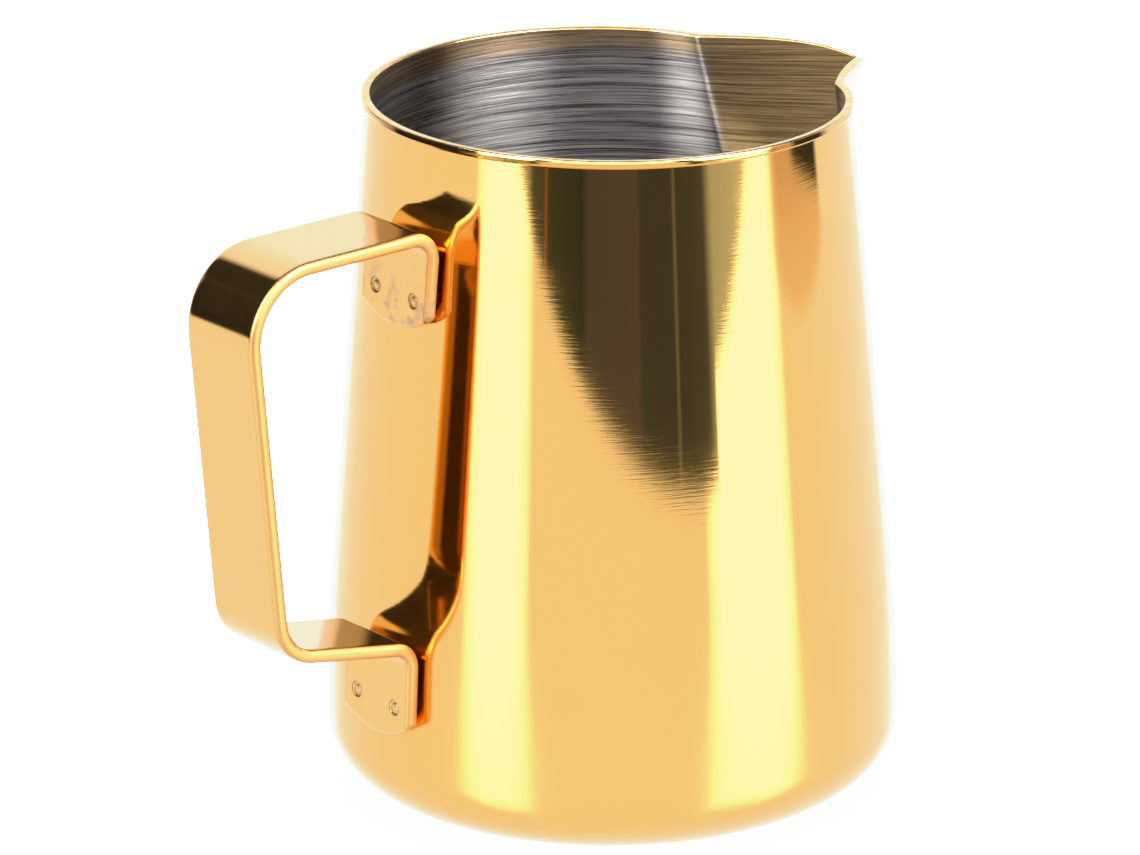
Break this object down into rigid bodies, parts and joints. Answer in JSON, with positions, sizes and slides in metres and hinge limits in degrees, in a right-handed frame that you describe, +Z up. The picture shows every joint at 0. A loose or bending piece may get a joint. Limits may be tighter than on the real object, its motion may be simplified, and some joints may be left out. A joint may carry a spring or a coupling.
{
  "type": "milk frothing pitcher",
  "caption": "Drawn steel milk frothing pitcher with a tapered wall, a pressed V spout and a spot-welded strap handle.",
  "frame": {"origin": "centre of the flat base, on the pitcher's axis, at the height of the surface it stands on", "axes": "+Z up along the pitcher's axis, +X towards the spout, -X towards the handle, and X-Z is the mirror plane"},
  "size_m": [0.1257, 0.0882, 0.1108],
  "materials": {
    "cup": "gold-coloured coating on steel, polished outside with fine level lines, bare brushed steel inside",
    "strap": "gold-coloured coating on steel, polished faces and satin rounded edges",
    "welds": "pressed spot-weld dimples, slightly dulled"
  },
  "bodies": {
    "root": {"pitcher_body": "cup", "handle_strap": "strap", "weld_upper_far": "welds", "weld_upper_near": "welds", "weld_lower_far": "welds", "weld_lower_near": "welds"}
  },
  "joints": []
}
